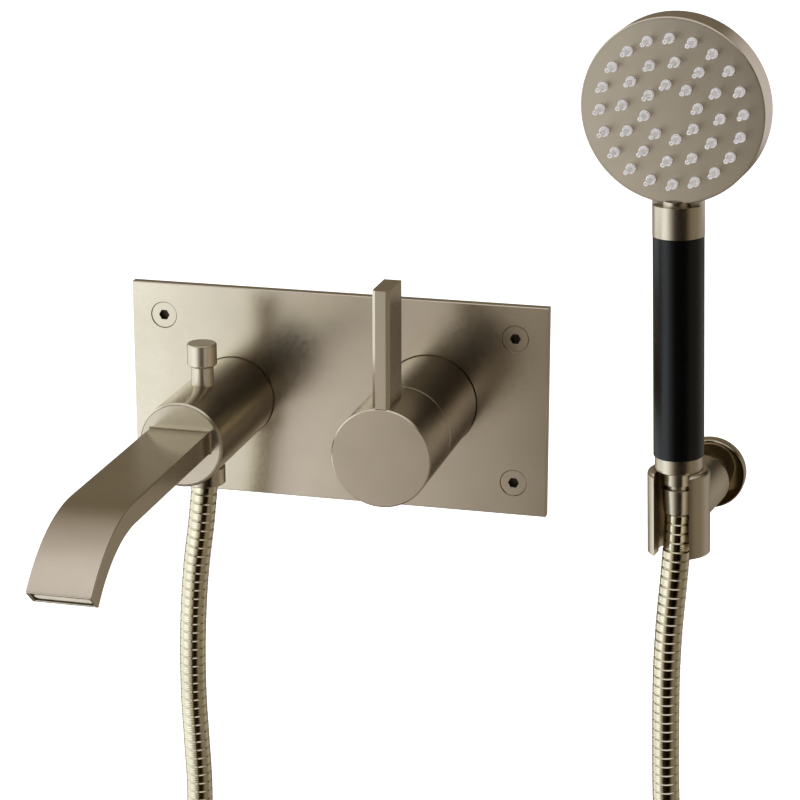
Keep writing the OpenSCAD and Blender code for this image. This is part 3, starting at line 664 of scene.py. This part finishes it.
def studio():
    """World light by direction: its brightness first, and then the colour that goes with it."""
    world = bpy.data.worlds.new("studio")
    world.use_nodes = True
    graph = Graph(world.node_tree)
    graph.nodes.clear()
    way = graph.add("ShaderNodeSeparateXYZ", {0: graph.add("ShaderNodeTexCoord").outputs["Generated"]})
    x, y, z = way.outputs[0], way.outputs[1], way.outputs[2]
    # azimuth in degrees: 0 in front of the object, towards -Y, and + to the right; elevation in degrees
    azimuth = graph.math("DEGREES", graph.math("ARCTAN2", x, graph.math("MULTIPLY", y, -1.0)))
    elevation = graph.math("DEGREES", graph.math("ARCSINE", z))

    def soft_box(left, right, low, high, blur):
        """1 between two azimuths and two elevations, fading out over the blur at each side."""
        inside = graph.math("MULTIPLY", graph.step(azimuth, left - blur, left + blur),
                            graph.step(azimuth, right + blur, right - blur))
        upright = graph.math("MULTIPLY", graph.step(elevation, low - BLUR_UP, low + BLUR_UP),
                             graph.step(elevation, high + BLUR_UP, high - BLUR_UP))
        return graph.math("MULTIPLY", inside, upright)

    behind = graph.step(y, 0.1, 0.6)
    # mask and brightness: the window on the left, a weak one on the right, the ceiling in front, the wall
    # behind, and the wall's lower part again
    lights = [
        (soft_box(-120, -45, -80, 40, 12), 1.25),
        (soft_box(54, 150, -80, 25, 14), 0.24),
        (graph.math("MULTIPLY", graph.step(elevation, 30.0, 56.0), graph.step(y, 1.0, -0.4)), 1.0),
        (behind, 0.16),
        (graph.math("MULTIPLY", behind, graph.step(elevation, 8.0, -12.0)), 0.06),
    ]
    total = DARKEST
    for mask, strength in lights:
        total = graph.math("ADD", total, graph.math("MULTIPLY", mask, strength))
    colour = tone(graph, total)
    seen = graph.add("ShaderNodeLightPath").outputs["Is Camera Ray"]
    shown = graph.add("ShaderNodeMix", {"Factor": seen, MIX_A: colour, MIX_B: (1.0, 1.0, 1.0, 1.0)},
                      data_type="RGBA")
    background = graph.add("ShaderNodeBackground", {"Color": shown.outputs[MIX_RESULT], "Strength": 1.0})
    output = graph.add("ShaderNodeOutputWorld")
    graph.links.new(background.outputs[0], output.inputs[0])
    scene.world = world


def tone(graph, level):
    """Turns a brightness from 0 to BRIGHTEST into a light colour, warm when dark and cool when bright."""
    share = graph.math("DIVIDE", level, BRIGHTEST)
    ramp = graph.ramp(share, [(0.0, (0.006, 0.003, 0.0008)), (0.02, (0.050, 0.030, 0.010)),
                              (0.10, (0.187, 0.158, 0.108)), (0.20, (0.335, 0.300, 0.250)),
                              (0.42, (0.68, 0.65, 0.645)), (0.56, (0.90, 0.89, 0.94)),
                              (0.80, (0.88, 0.95, 1.0)), (1.0, (0.86, 0.95, 1.0))])
    gain = graph.math("MULTIPLY", graph.step(share, 0.55, 1.0), 0.75)
    return graph.add("ShaderNodeVectorMath", {0: ramp, "Scale": graph.math("ADD", 1.0, gain)},
                     operation="SCALE").outputs[0]


def glow(graph, colour, strength):
    """An emission shader, wired to the graph's output."""
    made = graph.add("ShaderNodeEmission", {"Color": colour, "Strength": strength})
    output = next(node for node in graph.nodes if node.type == "OUTPUT_MATERIAL")
    graph.links.new(made.outputs[0], output.inputs[0])


def stand_card(card, at, width, height, material):
    """Stands a one metre square up at a place, scaled to its width and height and unseen by the camera."""
    card.scale = (width, height, 1.0)
    card.rotation_euler = (UPRIGHT, 0, 0)
    card.location = at
    card.data.materials.append(material)
    card.visible_camera = False


def front_card():
    """A soft card in front of the object on the left, brighter to the left, seen only in reflections."""
    made, graph, shader = new_material("front_card")
    graph.nodes.remove(shader)
    place = graph.add("ShaderNodeSeparateXYZ", {0: graph.add("ShaderNodeNewGeometry").outputs["Position"]})
    x, z = place.outputs[0], place.outputs[2]
    left, right = -1.2, 0.3
    # place along x and brightness, for the part below the plate's middle
    levels = [(-1.2, 1.6), (-0.34, 1.58), (-0.26, 1.02), (-0.17, 0.72), (-0.09, 0.60), (-0.01, 0.36),
              (0.05, 0.05), (0.08, 0.01)]
    across = graph.add("ShaderNodeMapRange", {"Value": x, "From Min": left, "From Max": right})
    stops = [((at - left) / (right - left), (level / BRIGHTEST,) * 3) for at, level in levels]
    low = graph.math("MULTIPLY", BRIGHTEST, graph.ramp(across.outputs[0], stops))
    high = graph.math("MULTIPLY", graph.step(x, -0.03, -0.22), 1.55)
    share = graph.step(z, -0.05, 0.10)
    level = graph.math("ADD", graph.math("MULTIPLY", low, graph.math("SUBTRACT", 1.0, share)),
                       graph.math("MULTIPLY", high, share))
    glow(graph, tone(graph, level), graph.step(z, 0.30, 0.10))
    stand_card(flat_card("front_card", 0.5), (-0.45, -0.60, -0.13), 1.5, 0.92, made)


def side_card(name, at, half_x, half_z, level, lit):
    """A soft-edged card that lights only the pieces whose names start with one of lit."""
    made, graph, shader = new_material(name)
    graph.nodes.remove(shader)
    place = graph.add("ShaderNodeSeparateXYZ", {0: graph.add("ShaderNodeTexCoord").outputs["Object"]})
    rim, full = 0.5, 0.38  # where the light ends and where it is full, from the card's middle
    across = graph.step(graph.math("ABSOLUTE", place.outputs[0]), rim, full)
    upright = graph.step(graph.math("ABSOLUTE", place.outputs[1]), rim, full)
    strength = graph.math("MULTIPLY", graph.math("MULTIPLY", across, upright), level)
    glow(graph, tone(graph, strength), 1.0)
    card = flat_card(name, 0.5)
    stand_card(card, at, 2 * half_x, 2 * half_z, made)
    pieces = bpy.data.collections.new(name + "_lit")
    for obj in scene.objects:
        if obj.type == "MESH" and obj.name.startswith(lit):
            pieces.objects.link(obj)
    card.light_linking.receiver_collection = pieces


PLATE_SET = ("wall_plate", "plate_screws", "mixer_sleeve", "handle_body", "lever", "spout", "diverter",
             "glide_ring")
SHOWER_HEAD = ("head_shell", "spray", "tail_collar", "grip_sleeve")
pale_floor()
front_card()
side_card("right_card", (0.41, -0.62, -0.28), 0.38, 0.36, 0.70, PLATE_SET)
side_card("back_card", (0.37, 0.15, 0.185), 0.14, 0.14, 0.80, SHOWER_HEAD)
studio()
scene.view_settings.view_transform = "Standard"

# ---------------------------------------------------------------- update

bpy.context.view_layer.update()
